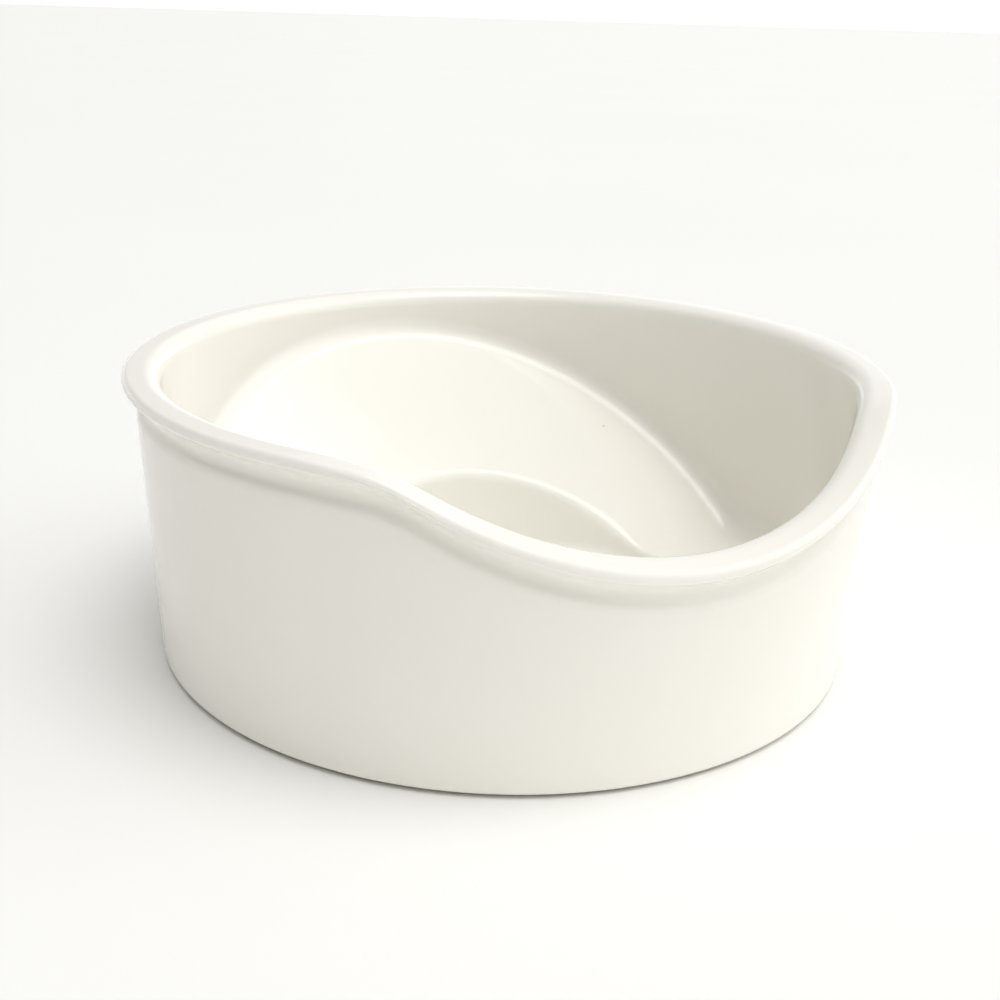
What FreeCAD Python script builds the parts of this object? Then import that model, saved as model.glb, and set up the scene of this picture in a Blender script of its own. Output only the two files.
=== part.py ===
"""Yarn bowl: a glazed ceramic bowl with one dipped rim section, and the ring under it.

Frame: millimetres, +Z up. The origin is the centre of the surface the bowl stands on.
The dip of the rim faces -Y, the high end of the sloping floor is at +Y, and YZ is the
mirror plane.
"""
import FreeCAD, Part
import math
import os

import Sketcher
from FreeCAD import Placement, Rotation, Vector

os.makedirs("parts", exist_ok=True)
doc = FreeCAD.newDocument("yarn_bowl")

# ---------------------------------------------------------------- driving dimensions

DIMENSIONS = {
    # outside
    "foot_gap": 0.5,            # the anti-slip ring lifts the ceramic foot by this much
    "foot_radius": 70.4,        # outer radius of the wall at the foot
    "foot_round": 1.4,          # rounding of the foot's outer edge
    "wall_radius": 72.7,        # outer radius of the wall just under the lip
    "rim_level": 57.4,          # top of the rim, away from the dip
    # rolled lip
    "lip_radius": 75.0,         # outer radius of the lip: the bowl is 150 across
    "lip_side": 1.8,            # height of the lip's outer face
    "lip_round": 1.2,           # rounding of its upper edge
    "lip_under_round": 1.1,     # rounding of its lower edge
    "neck_radius": 71.2,        # bottom of the cove between lip and wall
    "neck_depth": 4.6,          # how far the cove's bottom is below the rim
    "neck_round": 2.3,          # rounding of the cove
    "shoulder_depth": 7.5,      # where the wall starts, below the rim
    "shoulder_round": 3.6,
    # inside
    "bore_radius": 68.0,        # inner radius at the rim
    "bore_foot_radius": 66.4,   # inner radius at the foot
    "bore_round": 3.2,          # rounding of the rim's inner edge
    # dip of the rim: a parabola over the angle, for the rim's inner and outer edge
    "dip_depth_inside": 13.6,
    "dip_depth_outside": 15.7,
    "dip_angle_inside": 44.2,   # the parabola starts at this angle either side of its middle
    "dip_angle_outside": 42.3,
    "dip_softness_inside": 0.30,  # share of the depth over which the dip's shoulders round off
    "dip_softness_outside": 0.18,
    "lead_depth": 0.8,          # the rim sags this much before the dip starts
    "lead_angle": 55.4,         # the sag begins at this angle either side
    # floor
    "floor_level": 7.8,         # flat part of the floor, on the dip's side
    "floor_slope": 33.5,        # degrees: tilt of the sloping part
    "slope_foot": 6.5,          # Y where the sloping part starts
    "floor_radius": 68.6,       # the floor's disc ends inside the wall
    "floor_thickness": 4.2,
    # oval well cut into the floor, across the foot of the slope
    "well_level": 4.6,          # bottom of the well
    "well_half_width": 40.3,
    "well_half_length": 35.8,
    "well_centre": -6.3,
    # hollow underside
    "underside_level": 3.6,     # underside of the flat floor
    "well_underside": 1.0,      # underside of the well, just clear of the foot
    "cavity_radius": 62.6,
    # groove in the foot, and the ring that sits in it
    "groove_radius": 66.0,      # middle of the groove
    "groove_width": 3.2,
    "groove_depth": 2.0,
    "ring_width": 3.0,
    "ring_round": 0.5,
}

sheet = doc.addObject("Spreadsheet::Sheet", "Dimensions")
for row, (alias, value) in enumerate(DIMENSIONS.items(), start=1):
    sheet.set(f"A{row}", alias)
    sheet.set(f"B{row}", str(value))
    sheet.setAlias(f"B{row}", alias)
doc.recompute()


def dim(alias):
    """The value of one cell of the sheet."""
    return float(sheet.get(alias))


def bind(feature, **properties):
    """Bind properties of a document object to formulas on the sheet."""
    for name, formula in properties.items():
        feature.setExpression(name.replace("__", "."), formula)
    return feature


def add(kind, name, **properties):
    """Add a document object and bind its properties."""
    return bind(doc.addObject(kind, name), **properties)


# ---------------------------------------------------------------- wall with its wavy lip


def smoothstep(value):
    """0 below 0, 1 above 1, and a soft S between."""
    value = min(max(value, 0.0), 1.0)
    return value * value * (3.0 - 2.0 * value)


def mix(first, second, share):
    """Straight blend of two values."""
    return first * (1.0 - share) + second * share


def bend(across, width):
    """0 before the bend, a straight rise after it, and a soft turn this far either side."""
    if across <= -width:
        return 0.0
    if across >= width:
        return across
    return (across + width) ** 2 / (4.0 * width)


def rim_height(radius, angle):
    """Height of the rim's top at a radius and an angle from the dip's middle."""
    across = (radius - dim("bore_radius")) / (dim("lip_radius") - dim("bore_radius"))
    half_angle = mix(dim("dip_angle_inside"), dim("dip_angle_outside"), across)
    lead_angle = dim("lead_angle")
    lead = dim("lead_depth") * smoothstep((lead_angle - angle) / (lead_angle - half_angle))
    depth = mix(dim("dip_depth_inside"), dim("dip_depth_outside"), across)
    softness = mix(dim("dip_softness_inside"), dim("dip_softness_outside"), across)
    dip = depth * bend(1.0 - (angle / half_angle) ** 2, softness)
    return dim("rim_level") - lead - dip


def rounded_corner(before, corner, after, radius):
    """Start, middle and end of the arc that rounds one corner of an outline."""
    to_before = (before - corner).normalize()
    to_after = (after - corner).normalize()
    half = to_before.getAngle(to_after) / 2.0
    reach = radius / math.tan(half)
    bisector = (to_before + to_after).normalize()
    centre = corner + bisector * (radius / math.sin(half))
    return (corner + to_before * reach, centre - bisector * radius, corner + to_after * reach)


def rounded_outline(corners):
    """Closed wire through (point, rounding radius) corners."""
    count = len(corners)
    runs = []
    for index, (point, radius) in enumerate(corners):
        before = corners[index - 1][0]
        after = corners[(index + 1) % count][0]
        if radius > 0.0:
            runs.append(rounded_corner(before, point, after, radius))
        else:
            runs.append((point, None, point))
    edges = []
    for index, (start, middle, end) in enumerate(runs):
        if middle is not None:
            edges.append(Part.Arc(start, middle, end).toShape())
        edges.append(Part.LineSegment(end, runs[(index + 1) % count][0]).toShape())
    return Part.Wire(edges)


def wall_section(angle):
    """Section of the wall and its lip, in the half plane at an angle from the dip's middle."""
    outer = rim_height(dim("lip_radius"), angle)
    inner = rim_height(dim("bore_radius"), angle)
    profile = (
        (dim("bore_foot_radius"), dim("foot_gap"), 0.0),
        (dim("foot_radius"), dim("foot_gap"), dim("foot_round")),
        (dim("wall_radius"), outer - dim("shoulder_depth"), dim("shoulder_round")),
        (dim("neck_radius"), outer - dim("neck_depth"), dim("neck_round")),
        (dim("lip_radius"), outer - dim("lip_side"), dim("lip_under_round")),
        (dim("lip_radius"), outer, dim("lip_round")),
        (dim("bore_radius"), inner, dim("bore_round")),
    )
    turn = Rotation(Vector(0, 0, 1), angle - 90.0)
    corners = [(turn.multVec(Vector(radius, 0, level)), rounding)
               for radius, level, rounding in profile]
    return rounded_outline(corners)


def section_angles():
    """Angles of the sections from dip to back, closer together over the dip's shoulder."""
    coarse = 6.0
    fine = 1.5
    fine_start = 36.0
    fine_end = 57.0
    angle = 0.0
    angles = []
    while angle < 180.0 + coarse / 2.0:
        angles.append(angle)
        angle += fine if fine_start <= angle < fine_end else coarse
    return angles


half_wall = Part.makeLoft([wall_section(angle) for angle in section_angles()], True, False)
wall = doc.addObject("Part::Feature", "wall")
wall.Shape = half_wall.fuse(half_wall.mirror(Vector(0, 0, 0), Vector(1, 0, 0)))
wall.Placement = Placement()

# ---------------------------------------------------------------- floor and hollow


def tilted_box(name, foot_level):
    """Everything above a plane that rises towards +Y from the foot of the slope."""
    return add("Part::Box", name,
               Length="4 * Dimensions.foot_radius",
               Width="6 * Dimensions.foot_radius",
               Height="3 * Dimensions.foot_radius",
               Placement__Rotation__Axis__x="1",
               Placement__Rotation__Axis__z="0",
               Placement__Rotation__Angle="Dimensions.floor_slope",
               Placement__Base__x="-2 * Dimensions.foot_radius",
               Placement__Base__y="Dimensions.slope_foot"
                                  " - 3 * Dimensions.foot_radius * cos(Dimensions.floor_slope * 1deg)",
               Placement__Base__z=f"{foot_level}"
                                  " - 3 * Dimensions.foot_radius * sin(Dimensions.floor_slope * 1deg)")


def level_box(name, level):
    """Everything above a level."""
    return add("Part::Box", name,
               Length="4 * Dimensions.foot_radius",
               Width="4 * Dimensions.foot_radius",
               Height="Dimensions.rim_level",
               Placement__Base__x="-2 * Dimensions.foot_radius",
               Placement__Base__y="-2 * Dimensions.foot_radius",
               Placement__Base__z=level)


def disc(name, radius, bottom):
    """Round blank from a level up to the rim."""
    return add("Part::Cylinder", name,
               Radius=radius,
               Height=f"Dimensions.rim_level - {bottom}",
               Placement__Base__z=bottom)


def cut(name, base, tool):
    """One object minus another."""
    result = doc.addObject("Part::Cut", name)
    result.Base = base
    result.Tool = tool
    return result


def below_floor(name, blank, level, foot_level):
    """The part of a blank under a level, or under a slope that rises from the level."""
    above = doc.addObject("Part::Common", name + "_above")
    above.Base = level_box(name + "_above_level", level)
    above.Tool = tilted_box(name + "_above_slope", foot_level)
    return cut(name, blank, above)


def oval_column(name, margin, bottom):
    """Upright column of the well's oval plan, grown by a margin."""
    oval = add("Part::Ellipse", name + "_plan",
               MajorRadius=f"Dimensions.well_half_width + {margin}",
               MinorRadius=f"Dimensions.well_half_length + {margin}",
               Placement__Base__y="Dimensions.well_centre",
               Placement__Base__z=bottom)
    column = doc.addObject("Part::Extrusion", name)
    column.Base = oval
    column.Dir = Vector(0, 0, 1)
    column.Solid = True
    return bind(column, LengthFwd="Dimensions.rim_level")


floor_blank = below_floor(
    "floor_blank",
    disc("floor_disc", "Dimensions.floor_radius", "Dimensions.foot_gap"),
    "Dimensions.floor_level",
    "Dimensions.floor_level",
)
well = oval_column("well", "0", "Dimensions.well_level")
sloping_floor = cut("sloping_floor", floor_blank, well)

cavity_blank = below_floor(
    "cavity_blank",
    disc("cavity_disc", "Dimensions.cavity_radius", "0"),
    "Dimensions.underside_level",
    "Dimensions.floor_level - Dimensions.floor_thickness / cos(Dimensions.floor_slope * 1deg)",
)
well_wall = oval_column("well_wall", "Dimensions.floor_thickness", "Dimensions.well_underside")
cavity = cut("cavity", cavity_blank, well_wall)

# ---------------------------------------------------------------- groove in the foot


def groove_side(name, offset):
    """Cylinder through the foot, as one side of the groove."""
    return add("Part::Cylinder", name,
               Radius=f"Dimensions.groove_radius + {offset}",
               Height="Dimensions.groove_depth + Dimensions.foot_gap")


groove = cut(
    "groove",
    groove_side("groove_outside", "Dimensions.groove_width / 2"),
    groove_side("groove_inside", "-Dimensions.groove_width / 2"),
)

# ---------------------------------------------------------------- bowl

closed_bowl = doc.addObject("Part::Fuse", "closed_bowl")
closed_bowl.Base = wall
closed_bowl.Tool = sloping_floor
hollow_bowl = cut("hollow_bowl", closed_bowl, cavity)
bowl = cut("bowl_body", hollow_bowl, groove)
bowl.Label = "bowl_body"

# ---------------------------------------------------------------- anti-slip ring

ring = doc.addObject("PartDesign::Body", "anti_slip_ring")
ring.Label = "anti_slip_ring"
front = next(item for item in ring.Origin.OriginFeatures if item.Role == "XZ_Plane")
section = ring.newObject("Sketcher::SketchObject", "ring_section")
section.AttachmentSupport = (front, [""])
section.MapMode = "FlatFace"

ring_top = dim("foot_gap") + dim("groove_depth")
left = dim("groove_radius") - dim("ring_width") / 2.0
right = dim("groove_radius") + dim("ring_width") / 2.0
corners = [Vector(left, 0, 0), Vector(right, 0, 0), Vector(right, ring_top, 0), Vector(left, ring_top, 0)]
for index, corner in enumerate(corners):
    section.addGeometry(Part.LineSegment(corner, corners[(index + 1) % 4]))
for index in range(4):
    section.addConstraint(Sketcher.Constraint("Coincident", index, 2, (index + 1) % 4, 1))
for index, kind in enumerate(("Horizontal", "Vertical", "Horizontal", "Vertical")):
    section.addConstraint(Sketcher.Constraint(kind, index))
section.addConstraint(Sketcher.Constraint("PointOnObject", 0, 1, -1))
for kind, first, second, value, formula in (
    ("DistanceX", (-1, 1), (0, 1), left, "Dimensions.groove_radius - Dimensions.ring_width / 2"),
    ("DistanceX", (0, 1), (0, 2), right - left, "Dimensions.ring_width"),
    ("DistanceY", (0, 2), (1, 2), ring_top, "Dimensions.foot_gap + Dimensions.groove_depth"),
):
    number = section.addConstraint(Sketcher.Constraint(kind, *first, *second, value))
    section.setExpression(f"Constraints[{number}]", formula)

turned = ring.newObject("PartDesign::Revolution", "ring_turned")
turned.Profile = section
turned.ReferenceAxis = (section, ["V_Axis"])
turned.Angle = 360.0
ring.Tip = turned
doc.recompute()

softened = ring.newObject("PartDesign::Fillet", "ring_softened")
lower_edges = [f"Edge{number}" for number, edge in enumerate(turned.Shape.Edges, start=1)
               if edge.BoundBox.ZMax < dim("foot_gap") / 2.0]
softened.Base = (turned, lower_edges)
bind(softened, Radius="Dimensions.ring_round")
ring.Tip = softened

# ---------------------------------------------------------------- check and write

doc.recompute()
for item in doc.Objects:
    if "Invalid" in item.State or "Error" in item.State:
        raise RuntimeError(f"{item.Name} did not compute: {item.State}")

for item in (bowl, ring):
    shape = item.Shape
    if shape.isNull() or not shape.isValid() or len(shape.Solids) != 1:
        raise RuntimeError(f"{item.Label} is not one valid solid")
    shape.exportStep(f"parts/{item.Label}.step")
    box = shape.BoundBox
    print(f"{item.Label}: {shape.Volume:.0f} mm3, {len(shape.Faces)} faces, "
          f"{box.XLength:.1f} x {box.YLength:.1f} x {box.ZLength:.1f} mm")
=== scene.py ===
"""Looks of the yarn bowl: one smooth glazed ceramic body and the soft ring in its foot.

Everything is in metres, in the CAD frame: +Z up, the origin on the surface the bowl stands
on, the dip of the rim towards -Y and the high end of the sloping floor towards +Y.
"""
from math import cos, pi, radians, sin, sqrt, tan

import bpy
from mathutils import Matrix, Vector


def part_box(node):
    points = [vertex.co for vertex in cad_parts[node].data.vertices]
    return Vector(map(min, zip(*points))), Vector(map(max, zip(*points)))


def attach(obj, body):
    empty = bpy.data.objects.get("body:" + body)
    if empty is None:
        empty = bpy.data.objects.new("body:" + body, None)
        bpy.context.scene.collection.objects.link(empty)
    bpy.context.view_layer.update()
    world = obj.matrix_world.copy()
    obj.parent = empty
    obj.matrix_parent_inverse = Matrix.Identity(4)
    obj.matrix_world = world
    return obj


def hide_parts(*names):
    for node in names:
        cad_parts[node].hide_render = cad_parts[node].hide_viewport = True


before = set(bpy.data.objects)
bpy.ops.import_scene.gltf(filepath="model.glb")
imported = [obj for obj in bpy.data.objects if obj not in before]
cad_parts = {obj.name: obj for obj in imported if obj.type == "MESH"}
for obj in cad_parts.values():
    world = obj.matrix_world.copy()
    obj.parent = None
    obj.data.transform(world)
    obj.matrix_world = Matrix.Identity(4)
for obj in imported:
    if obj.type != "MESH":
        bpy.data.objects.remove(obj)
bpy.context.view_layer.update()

bowl_low, bowl_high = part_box("bowl_body")
ring_low, ring_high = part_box("anti_slip_ring")

MM = 0.001

# ---------------------------------------------------------------- driving dimensions

LIP_RADIUS = (bowl_high.x - bowl_low.x) / 2
RIM_LEVEL = bowl_high.z
FOOT_LEVEL = bowl_low.z

FOOT_RADIUS = 70.4 * MM
FOOT_ROUND = 1.4 * MM
WALL_RADIUS = 72.7 * MM          # just under the lip

LIP_SIDE = 1.8 * MM              # height of the lip's outer face
LIP_ROUND = 1.2 * MM
LIP_UNDER_ROUND = 1.1 * MM
NECK_RADIUS = 71.2 * MM          # bottom of the cove between lip and wall
NECK_DEPTH = 4.6 * MM
NECK_ROUND = 2.3 * MM
SHOULDER_DEPTH = 7.5 * MM
SHOULDER_ROUND = 3.6 * MM

BORE_RADIUS = 68.0 * MM          # inner radius at the rim
BORE_FOOT_RADIUS = 66.4 * MM     # inner radius at the foot
BORE_ROUND = 3.2 * MM

DIP_DEPTH = (13.6 * MM, 15.7 * MM)  # at the bore and at the lip's outer edge
DIP_HALF_ANGLE = (44.2, 42.3)    # degrees, at the same two places
DIP_SOFTNESS = (0.30, 0.18)      # share of the dip's depth over which its shoulders round off
LEAD_DEPTH = 0.8 * MM            # the rim sags this much before the dip starts
LEAD_ANGLE = 55.4                # degrees from the dip's middle to where the sag starts

FLOOR_LEVEL = 7.8 * MM           # flat part of the floor
FLOOR_SLOPE = radians(33.5)
SLOPE_FOOT = 6.5 * MM            # Y where the sloping part starts
CREASE_BLEND = 2.5 * MM          # half width of the soft bend at the slope's foot
FLOOR_THICKNESS = 4.2 * MM
FLOOR_ROUND = 6.0 * MM           # fillet between floor and wall

WELL_LEVEL = 4.6 * MM            # bottom of the oval well, cut through the slope's foot
WELL_CENTRE = -6.3 * MM
WELL_HALF_WIDTH = 40.3 * MM
WELL_HALF_LENGTH = 35.8 * MM
WELL_DRAFT = radians(12.0)       # the well's side leans outwards
CREST_ROUND = 4.0 * MM           # crest of the well's side, where the side is high
WELL_ROUND = 3.4 * MM            # fillet at the foot of the well's side

UNDERSIDE_LEVEL = 3.6 * MM
WELL_UNDERSIDE = 1.0 * MM
CAVITY_RADIUS = 62.6 * MM
CAVITY_ROUND = 2.5 * MM
CAVITY_SHARE = 0.4               # most of the hollow's height that this rounding may take

GROOVE_RADIUS = 66.0 * MM
GROOVE_WIDTH = 3.2 * MM
GROOVE_DEPTH = 2.0 * MM
RING_WIDTH = 3.0 * MM

SPOKES = 360                     # vertices round every ring of the bowl

# ---------------------------------------------------------------- curves of the design


def smoothstep(value):
    """0 below 0, 1 above 1, and a soft S between."""
    value = min(max(value, 0.0), 1.0)
    return value * value * (3.0 - 2.0 * value)


def mix(first, second, share):
    """Straight blend of two values or vectors."""
    return first * (1.0 - share) + second * share


def bend(across, width):
    """0 before the bend, a straight rise after it, and a soft turn this far either side."""
    if across <= -width:
        return 0.0
    if across >= width:
        return across
    return (across + width) ** 2 / (4.0 * width)


def rim_height(radius, angle):
    """Top of the rim at a radius and an angle from the dip's middle, in degrees."""
    across = (radius - BORE_RADIUS) / (LIP_RADIUS - BORE_RADIUS)
    half_angle = mix(*DIP_HALF_ANGLE, across)
    lead = LEAD_DEPTH * smoothstep((LEAD_ANGLE - angle) / (LEAD_ANGLE - half_angle))
    softness = mix(*DIP_SOFTNESS, across)
    dip = mix(*DIP_DEPTH, across) * bend(1.0 - (angle / half_angle) ** 2, softness)
    return RIM_LEVEL - lead - dip


def bore_at(level):
    """Inner radius of the wall at a level."""
    share = (level - FOOT_LEVEL) / (RIM_LEVEL - FOOT_LEVEL)
    return mix(BORE_FOOT_RADIUS, BORE_RADIUS, share)


def rounded(before, corner, after, radius, steps):
    """Points of the arc that rounds the corner of a 2-D outline."""
    to_before = (before - corner).normalized()
    to_after = (after - corner).normalized()
    half = to_before.angle(to_after) / 2.0
    centre = corner + (to_before + to_after).normalized() * (radius / sin(half))
    start = corner + to_before * (radius / tan(half)) - centre
    end = corner + to_after * (radius / tan(half)) - centre
    turn = 2.0 * (pi / 2.0 - half)
    points = []
    for step in range(steps + 1):
        share = step / steps
        first = sin((1.0 - share) * turn) / sin(turn)
        second = sin(share * turn) / sin(turn)
        points.append(centre + start * first + end * second)
    return points


def outline(corners, arc_steps, run_steps):
    """Points along an open 2-D outline of (point, rounding) corners, start and end included."""
    points = [corners[0][0]]
    for index in range(1, len(corners)):
        corner, radius = corners[index]
        stretch = [corner]
        if radius > 0.0:
            stretch = rounded(corners[index - 1][0], corner, corners[index + 1][0], radius, arc_steps)
        start = points[-1]
        steps = run_steps[index - 1]
        points += [mix(start, stretch[0], step / steps) for step in range(1, steps)]
        points += stretch
    return points


# ---------------------------------------------------------------- floor and underside


class Floor:
    """A level surface that bends up into the slope, with an oval well cut into it.

    The top of the floor and the underside are the same kind of surface, a floor thickness
    apart. Each spoke runs from the well's centre to the wall.
    """

    CENTRE_RINGS = 8
    ARC_STEPS = 10
    SIDE_RINGS = 6
    SLOPE_RINGS = 16
    WALL_PASSES = 4               # repeats that settle where the slope meets the wall
    NEAR_WALL = 6.0 * MM          # run over which the floor's slope at the wall is taken
    NEAR_CREST = 4.0 * MM         # run over which the floor's slope at the well is taken
    SIDE_SHARE = 0.45             # most of the well's side that its foot fillet may take

    def __init__(self, level, well_level, slope_level, grow, wall, wall_rise, wall_round):
        self.level = level
        self.well_level = well_level
        self.foot = SLOPE_FOOT + (level - slope_level) / tan(FLOOR_SLOPE)
        self.half_width = WELL_HALF_WIDTH + grow
        self.half_length = WELL_HALF_LENGTH + grow
        self.wall = wall              # radius of the wall at a level
        self.wall_rise = wall_rise    # direction of the wall, away from the floor
        self.wall_round = wall_round  # fillet radius at a floor height

    def height(self, point):
        """Height of the level and the slope together, without the well."""
        return self.level + tan(FLOOR_SLOPE) * bend(point.y - self.foot, CREASE_BLEND)

    def wall_fillet(self, spoke):
        """Fillet between floor and wall, as 2-D (radius, height) points."""
        radius = self.wall(self.level)
        for _ in range(self.WALL_PASSES):
            radius = self.wall(self.height(spoke * radius))
        level = self.height(spoke * radius)
        rise = (level - self.height(spoke * (radius - self.NEAR_WALL))) / self.NEAR_WALL
        corner = Vector((radius, level))
        return rounded(corner - Vector((1.0, rise)), corner, corner + self.wall_rise,
                       self.wall_round(level), self.ARC_STEPS)

    def well_side(self, edge, outwards):
        """Section of the well's side along a spoke, as 2-D (distance, height) points."""
        rise = self.height(edge) - self.well_level
        foot = Vector((-rise * tan(WELL_DRAFT), self.well_level))
        crest = Vector((0.0, self.well_level + rise))
        beyond = Vector((self.NEAR_CREST, self.height(edge + outwards * self.NEAR_CREST)))
        fit = min(1.0, self.SIDE_SHARE * (crest - foot).length / WELL_ROUND)
        lower = rounded(foot - Vector((1.0, 0.0)), foot, crest, WELL_ROUND * fit, self.ARC_STEPS)
        upper = rounded(foot, crest, beyond, CREST_ROUND * fit, self.ARC_STEPS)
        side = [mix(lower[-1], upper[0], step / self.SIDE_RINGS) for step in range(1, self.SIDE_RINGS)]
        return lower + side + upper

    def spoke_points(self, angle):
        """Points of one spoke, from the centre of the well to the top of the wall's fillet."""
        spoke = Vector((sin(angle), -cos(angle)))
        fillet = self.wall_fillet(spoke)
        centre = Vector((0.0, WELL_CENTRE))
        outwards = (spoke * fillet[0].x - centre).normalized()
        reach = 1.0 / sqrt((outwards.x / self.half_width) ** 2 + (outwards.y / self.half_length) ** 2)
        edge = centre + outwards * reach
        side = self.well_side(edge, outwards)
        points = []
        for ring in range(1, self.CENTRE_RINGS):
            plan = mix(centre, edge + outwards * side[0].x, ring / self.CENTRE_RINGS)
            points.append(Vector((*plan, self.well_level)))
        for distance, level in side:
            points.append(Vector((*(edge + outwards * distance), level)))
        start = edge + outwards * side[-1].x
        for ring in range(1, self.SLOPE_RINGS):
            plan = mix(start, spoke * fillet[0].x, ring / self.SLOPE_RINGS)
            points.append(Vector((*plan, self.height(plan))))
        for radius, level in fillet:
            points.append(Vector((*(spoke * radius), level)))
        return points


floor_top = Floor(
    level=FLOOR_LEVEL,
    well_level=WELL_LEVEL,
    slope_level=FLOOR_LEVEL,
    grow=0.0,
    wall=bore_at,
    wall_rise=Vector((BORE_RADIUS - BORE_FOOT_RADIUS, RIM_LEVEL - FOOT_LEVEL)),
    wall_round=lambda level: FLOOR_ROUND,
)
underside = Floor(
    level=UNDERSIDE_LEVEL,
    well_level=WELL_UNDERSIDE,
    slope_level=FLOOR_LEVEL - FLOOR_THICKNESS / cos(FLOOR_SLOPE),
    grow=FLOOR_THICKNESS,
    wall=lambda level: CAVITY_RADIUS,
    wall_rise=Vector((0.0, -1.0)),
    wall_round=lambda level: min(CAVITY_ROUND, CAVITY_SHARE * (level - FOOT_LEVEL)),
)

# ---------------------------------------------------------------- bowl

GROOVE_TOP = FOOT_LEVEL + GROOVE_DEPTH
GROOVE_OUTSIDE = GROOVE_RADIUS + GROOVE_WIDTH / 2
GROOVE_INSIDE = GROOVE_RADIUS - GROOVE_WIDTH / 2
FOOT_SOFT = 0.4 * MM             # small roundings of the foot's other edges
ARC_STEPS = 8
# Stretches between the corners of the wall's outline, and how many steps each has.
RUN_STEPS = (14, 4, 2, 3, 2, 16, 3, 3, 3, 3, 3, 4)


def wall_outline(angle, start, end):
    """Outline from the floor's fillet over the lip, down the wall and across the foot."""
    degrees = abs((angle * 180.0 / pi + 180.0) % 360.0 - 180.0)
    inner = rim_height(BORE_RADIUS, degrees)
    outer = rim_height(LIP_RADIUS, degrees)
    corners = (
        (start, 0.0),
        (Vector((BORE_RADIUS, inner)), BORE_ROUND),
        (Vector((LIP_RADIUS, outer)), LIP_ROUND),
        (Vector((LIP_RADIUS, outer - LIP_SIDE)), LIP_UNDER_ROUND),
        (Vector((NECK_RADIUS, outer - NECK_DEPTH)), NECK_ROUND),
        (Vector((WALL_RADIUS, outer - SHOULDER_DEPTH)), SHOULDER_ROUND),
        (Vector((FOOT_RADIUS, FOOT_LEVEL)), FOOT_ROUND),
        (Vector((GROOVE_OUTSIDE, FOOT_LEVEL)), FOOT_SOFT),
        (Vector((GROOVE_OUTSIDE, GROOVE_TOP)), FOOT_SOFT),
        (Vector((GROOVE_INSIDE, GROOVE_TOP)), FOOT_SOFT),
        (Vector((GROOVE_INSIDE, FOOT_LEVEL)), FOOT_SOFT),
        (Vector((CAVITY_RADIUS, FOOT_LEVEL)), FOOT_SOFT / 2),
        (end, 0.0),
    )
    return outline(corners, ARC_STEPS, RUN_STEPS)


def bowl_spoke(angle):
    """All points of one spoke: floor, wall, foot and underside."""
    spoke = Vector((sin(angle), -cos(angle)))
    top = floor_top.spoke_points(angle)
    under = underside.spoke_points(angle)
    start = Vector((top[-1].xy.length, top[-1].z))
    end = Vector((under[-1].xy.length, under[-1].z))
    wall = [Vector((*(spoke * radius), level)) for radius, level in wall_outline(angle, start, end)]
    return top + wall[1:-1] + under[::-1]


def new_mesh(name, vertices, faces):
    """A mesh object with smooth shading."""
    mesh = bpy.data.meshes.new(name)
    mesh.from_pydata(vertices, [], faces)
    mesh.shade_smooth()
    item = bpy.data.objects.new(name, mesh)
    bpy.context.scene.collection.objects.link(item)
    return item


def build_bowl():
    """The ceramic body, as one closed mesh of rings and spokes."""
    spokes = [bowl_spoke(2.0 * pi * index / SPOKES) for index in range(SPOKES)]
    rings = len(spokes[0])
    vertices = [point for spoke in spokes for point in spoke]
    top_pole = len(vertices)
    vertices.append(Vector((0.0, WELL_CENTRE, WELL_LEVEL)))
    under_pole = len(vertices)
    vertices.append(Vector((0.0, WELL_CENTRE, WELL_UNDERSIDE)))
    faces = []
    for index in range(SPOKES):
        here = index * rings
        there = (index + 1) % SPOKES * rings
        faces.append((top_pole, here, there))
        for ring in range(rings - 1):
            faces.append((here + ring, here + ring + 1, there + ring + 1, there + ring))
        faces.append((under_pole, there + rings - 1, here + rings - 1))
    return new_mesh("bowl_ceramic", vertices, faces)


bowl = build_bowl()
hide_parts("bowl_body")
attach(bowl, "root")

# ---------------------------------------------------------------- ring in the foot

RIB_COUNT = 3                    # fine raised ribs under the ring, which grip the table
RIB_DEPTH = 0.28 * MM
RIB_STEPS = 36                   # points across the ribbed underside
RING_CORNER = 0.45 * MM
RING_TOP_ROUND = RING_CORNER / 2
RING_CORNER_RISE = 0.4           # height of an underside corner's curve, as a share of its width
RING_ARC_STEPS = 4
RING_RUN_STEPS = (4, 4, 4)       # steps of the outside, the top and the inside


def ring_section():
    """Closed section of the ring, as 2-D (radius, height) points, counter-clockwise."""
    outside = ring_high.x
    inside = outside - RING_WIDTH
    low = ring_low.z
    high = ring_high.z
    points = []
    for step in range(RIB_STEPS + 1):
        share = step / RIB_STEPS
        valley = 0.5 - 0.5 * cos(2.0 * pi * RIB_COUNT * share)
        corner = max(0.0, RING_CORNER - min(share, 1.0 - share) * RING_WIDTH) / RING_CORNER
        rise = (1.0 - valley) * RIB_DEPTH + corner ** 2 * RING_CORNER * RING_CORNER_RISE
        points.append(Vector((mix(inside, outside, share), low + rise)))
    corners = (
        (points[-1], 0.0),
        (Vector((outside, high)), RING_TOP_ROUND),
        (Vector((inside, high)), RING_TOP_ROUND),
        (points[0], 0.0),
    )
    return points + outline(corners, RING_ARC_STEPS, RING_RUN_STEPS)[1:-1]


def build_ring():
    """The soft ring, one closed loop of sections."""
    section = ring_section()
    count = len(section)
    vertices = []
    faces = []
    for index in range(SPOKES):
        angle = 2.0 * pi * index / SPOKES
        spoke = Vector((sin(angle), -cos(angle)))
        vertices += [Vector((*(spoke * point.x), point.y)) for point in section]
        here = index * count
        there = (index + 1) % SPOKES * count
        for point in range(count):
            after = (point + 1) % count
            faces.append((here + point, here + after, there + after, there + point))
    return new_mesh("anti_slip_ring_silicone", vertices, faces)


ring = build_ring()
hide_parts("anti_slip_ring")
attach(ring, "root")

# ---------------------------------------------------------------- materials


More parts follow.
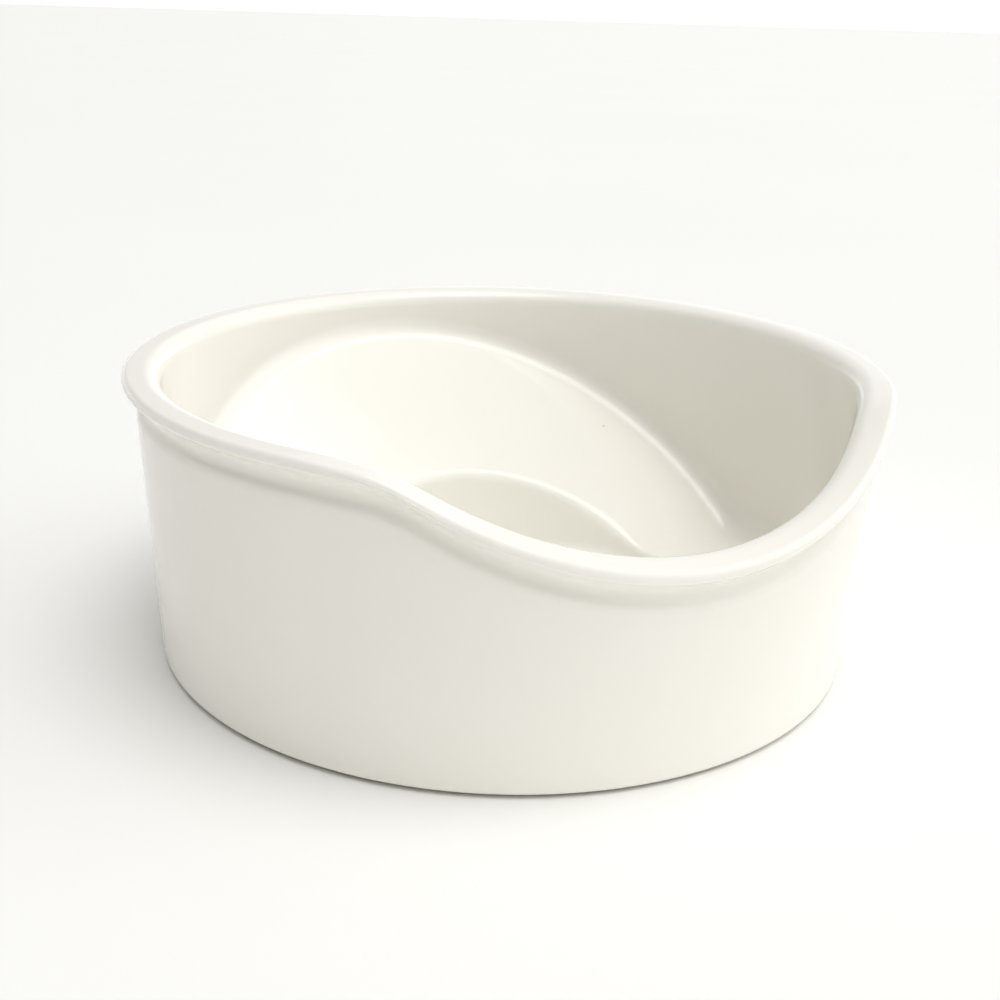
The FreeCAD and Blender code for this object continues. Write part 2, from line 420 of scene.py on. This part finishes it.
class Nodes:
    """A small helper that adds and links the nodes of one material."""

    def __init__(self, name):
        self.material = bpy.data.materials.new(name)
        self.material.use_nodes = True
        self.tree = self.material.node_tree
        self.shader = self.tree.nodes["Principled BSDF"]
        self.place = self.tree.nodes.new("ShaderNodeTexCoord").outputs["Object"]

    def add(self, kind, values=(), links=(), **settings):
        """A node with settings, socket values and linked inputs."""
        node = self.tree.nodes.new("ShaderNode" + kind)
        for key, value in settings.items():
            setattr(node, key, value)
        for socket, value in dict(values).items():
            node.inputs[socket].default_value = value
        for socket, source in dict(links).items():
            self.tree.links.new(source, node.inputs[socket])
        return node

    def noise(self, scale, detail=2.0, roughness=0.5):
        """Noise over the object's own space; scale is in cells per metre."""
        values = {"Scale": scale, "Detail": detail, "Roughness": roughness}
        return self.add("TexNoise", values, {"Vector": self.place}).outputs["Fac"]

    def remap(self, source, low, high, to_low, to_high):
        """The source's range from low to high, stretched to another range and clamped."""
        values = {"From Min": low, "From Max": high, "To Min": to_low, "To Max": to_high}
        return self.add("MapRange", values, {"Value": source}).outputs["Result"]

    def blend(self, share, first, second):
        """Colour blend; first and second are colours or sockets."""
        node = self.add("Mix", data_type="RGBA")
        sockets = (node.inputs[0], node.inputs[6], node.inputs[7])   # the factor and the two colours
        for socket, value in zip(sockets, (share, first, second)):
            if isinstance(value, bpy.types.NodeSocket):
                self.tree.links.new(value, socket)
            else:
                socket.default_value = value
        return node.outputs[2]

    def bump(self, height, distance, strength, under=None):
        """Bump from a height; distance is in metres."""
        links = {"Height": height}
        if under:
            links["Normal"] = under
        return self.add("Bump", {"Strength": strength, "Distance": distance}, links).outputs["Normal"]

    def feed(self, **sources):
        """Links sockets of the shader, named with underscores for spaces."""
        for name, source in sources.items():
            self.tree.links.new(source, self.shader.inputs[name.replace("_", " ")])

    def keep(self, **values):
        """Sets sockets of the shader that are the same all over."""
        for name, value in values.items():
            self.shader.inputs[name.replace("_", " ")].default_value = value


def glaze():
    """Warm white tableware glaze: glossy, slightly wavy, with faint tone and a few pinholes."""
    nodes = Nodes("warm_white_glaze")
    tone = nodes.remap(nodes.noise(22.0, 3.0), 0.35, 0.65, 0.0, 1.0)
    colour = nodes.blend(tone, (0.950, 0.930, 0.860, 1.0), (0.942, 0.920, 0.846, 1.0))
    cells = nodes.add("TexVoronoi", {"Scale": 110.0}, {"Vector": nodes.place})
    rare = nodes.remap(cells.outputs["Color"], 0.10, 0.16, 1.0, 0.0)
    spot = nodes.remap(cells.outputs["Distance"], 0.012, 0.034, 1.0, 0.0)
    pinhole = nodes.add("Math", operation="MULTIPLY", links={0: rare, 1: spot}).outputs[0]
    colour = nodes.blend(pinhole, colour, (0.62, 0.58, 0.50, 1.0))
    wave = nodes.bump(nodes.noise(34.0, 1.0), 0.5 * MM, 0.5)
    skin = nodes.bump(nodes.noise(900.0, 2.0), 0.02 * MM, 0.35, wave)
    pits = nodes.add("Math", operation="MULTIPLY", values={1: -1.0}, links={0: pinhole}).outputs[0]
    nodes.feed(Base_Color=colour, Normal=nodes.bump(pits, 0.12 * MM, 0.8, skin),
               Roughness=nodes.remap(nodes.noise(60.0, 2.0), 0.3, 0.7, 0.06, 0.09))
    nodes.keep(IOR=1.5)
    return nodes.material


def bare_clay():
    """The unglazed, wiped land of the foot: matt buff clay with fine grit."""
    nodes = Nodes("bare_fired_clay")
    grain = nodes.noise(2600.0, 3.0, 0.6)
    tone = nodes.remap(nodes.noise(260.0, 4.0), 0.35, 0.65, 0.0, 1.0)
    colour = nodes.blend(tone, (0.62, 0.56, 0.46, 1.0), (0.70, 0.645, 0.54, 1.0))
    nodes.feed(Base_Color=colour, Normal=nodes.bump(grain, 0.12 * MM, 0.6),
               Roughness=nodes.remap(grain, 0.3, 0.7, 0.7, 0.92))
    return nodes.material


def silicone():
    """Soft translucent silicone: milky grey with a fine moulded skin."""
    nodes = Nodes("milky_silicone")
    skin = nodes.noise(3200.0, 2.0)
    tone = nodes.remap(nodes.noise(140.0, 2.0), 0.35, 0.65, 0.0, 1.0)
    colour = nodes.blend(tone, (0.42, 0.42, 0.41, 1.0), (0.47, 0.47, 0.46, 1.0))
    nodes.feed(Base_Color=colour, Normal=nodes.bump(skin, 0.03 * MM, 0.4),
               Roughness=nodes.remap(skin, 0.3, 0.7, 0.42, 0.55))
    nodes.keep(Subsurface_Weight=0.25, Subsurface_Scale=1.0 * MM)
    return nodes.material


bowl.data.materials.append(glaze())
bowl.data.materials.append(bare_clay())
for face in bowl.data.polygons:
    radius = face.center.xy.length
    if radius > CAVITY_RADIUS and face.center.z < GROOVE_TOP and radius < FOOT_RADIUS - FOOT_ROUND:
        face.material_index = 1
ring.data.materials.append(silicone())

# ---------------------------------------------------------------- floor, room and camera

TABLE_HALF_SIZE = 60.0           # metres, far beyond the view


def studio_floor():
    """A plain pale table top, far larger than the view."""
    signs = ((-1, -1), (1, -1), (1, 1), (-1, 1))
    corners = [Vector((x * TABLE_HALF_SIZE, y * TABLE_HALF_SIZE, 0.0)) for x, y in signs]
    floor = new_mesh("studio_floor", corners, [(0, 1, 2, 3)])
    nodes = Nodes("pale_paper")
    tone = nodes.remap(nodes.noise(3.0, 2.0), 0.3, 0.7, 0.0, 1.0)
    nodes.feed(Base_Color=nodes.blend(tone, (0.945, 0.942, 0.915, 1.0), (0.960, 0.957, 0.930, 1.0)))
    nodes.keep(Roughness=0.55)
    floor.data.materials.append(nodes.material)


CAMERA_AZIMUTH = -28.0           # degrees; 0 looks at the dip, along +Y
CAMERA_ELEVATION = 25.09
CAMERA_DISTANCE = 286.7 * MM
CAMERA_LENS = 47.88              # both in the camera's millimetres
CAMERA_SENSOR = 36.0
CAMERA_YAW = radians(-0.23)
CAMERA_PITCH = radians(5.09)
CAMERA_ROLL = radians(1.86)

# Soft glows of the room: azimuth from the camera's own, elevation, tightness and strength.
# An azimuth of 90 is on the camera's right, and 180 is behind the bowl.
GLOWS = (
    (0.0, 90.0, 24.0, 0.80),
    (0.0, 90.0, 4.0, 0.15),
    (0.0, 65.0, 16.0, 1.22),
    (45.0, 65.0, 16.0, 0.95),
    (225.0, 65.0, 16.0, 0.62),
    (0.0, 35.0, 10.0, 0.38),
    (90.0, 35.0, 10.0, 1.98),
    (135.0, 35.0, 10.0, 0.37),
    (180.0, 28.0, 10.0, 0.50),
    (225.0, 35.0, 10.0, 0.35),
    (60.0, 8.0, 16.0, 0.50),
    (150.0, 8.0, 16.0, 0.55),
    (180.0, 8.0, 16.0, 0.20),
)
SOFT_BOX = (60.0, 78.0, 2.55)    # azimuth, elevation and strength of the round soft box overhead
SOFT_BOX_EDGE = (21.0, 16.0)     # degrees from its middle to where it ends and where it is full
HORIZON = 1.1                    # strength of the room right above the floor's far edge
HORIZON_TOP = 0.30               # height of a unit direction at which that brightness has faded


def pointing(azimuth, elevation):
    """Unit vector towards an azimuth and elevation in degrees; azimuth 0 is on the dip's side."""
    turn = radians(azimuth)
    lift = radians(elevation)
    return Vector((sin(turn) * cos(lift), -cos(turn) * cos(lift), sin(lift)))


def pale_room():
    """The room around the bowl: wide soft glows and a soft box over a bright horizon."""
    world = bpy.data.worlds.new("pale_room")
    world.use_nodes = True
    tree = world.node_tree
    background = tree.nodes["Background"]
    background.inputs["Color"].default_value = (1.0, 1.0, 1.0, 1.0)
    direction = tree.nodes.new("ShaderNodeTexCoord").outputs["Generated"]

    def calculate(operation, first, second):
        """Sum, product or other operation on a socket and a socket or number."""
        node = tree.nodes.new("ShaderNodeMath")
        node.operation = operation
        tree.links.new(first, node.inputs[0])
        if isinstance(second, float):
            node.inputs[1].default_value = second
        else:
            tree.links.new(second, node.inputs[1])
        return node.outputs[0]

    def fade(value, start, end, strength):
        """0 at the start of a range and the strength at its end, with a soft S between."""
        node = tree.nodes.new("ShaderNodeMapRange")
        node.interpolation_type = "SMOOTHSTEP"
        node.inputs["From Min"].default_value = start
        node.inputs["From Max"].default_value = end
        node.inputs["To Min"].default_value = 0.0
        node.inputs["To Max"].default_value = strength
        tree.links.new(value, node.inputs["Value"])
        return node.outputs["Result"]

    def nearness(azimuth, elevation):
        """Cosine of the angle to a place in the room."""
        node = tree.nodes.new("ShaderNodeVectorMath")
        node.operation = "DOT_PRODUCT"
        node.inputs[1].default_value = pointing(CAMERA_AZIMUTH + azimuth, elevation)
        tree.links.new(direction, node.inputs[0])
        return node.outputs["Value"]

    height = tree.nodes.new("ShaderNodeSeparateXYZ")
    tree.links.new(direction, height.inputs[0])
    total = fade(height.outputs["Z"], HORIZON_TOP, 0.0, HORIZON)
    azimuth, elevation, strength = SOFT_BOX
    outside, inside = SOFT_BOX_EDGE
    box = fade(nearness(azimuth, elevation), cos(radians(outside)), cos(radians(inside)), strength)
    total = calculate("ADD", total, box)
    for azimuth, elevation, tightness, strength in GLOWS:
        lobe = calculate("POWER", calculate("MAXIMUM", nearness(azimuth, elevation), 0.0), tightness)
        total = calculate("ADD", total, calculate("MULTIPLY", lobe, strength))
    tree.links.new(total, background.inputs["Strength"])
    bpy.context.scene.world = world
    bpy.context.scene.view_settings.view_transform = "Standard"


def studio_camera():
    """The camera, aimed at the foot's centre and then turned a little to frame the bowl."""
    camera = bpy.data.cameras.new("camera")
    camera.lens = CAMERA_LENS
    camera.sensor_width = CAMERA_SENSOR
    item = bpy.data.objects.new("camera", camera)
    away = pointing(CAMERA_AZIMUTH, CAMERA_ELEVATION)
    aim = away.to_track_quat("Z", "Y").to_matrix()
    turn = Matrix.Rotation(-CAMERA_YAW, 3, "Y") @ Matrix.Rotation(CAMERA_PITCH, 3, "X")
    turn = turn @ Matrix.Rotation(CAMERA_ROLL, 3, "Z")
    item.matrix_world = Matrix.Translation(away * CAMERA_DISTANCE) @ (aim @ turn).to_4x4()
    bpy.context.scene.collection.objects.link(item)
    bpy.context.scene.camera = item


studio_floor()
pale_room()
studio_camera()
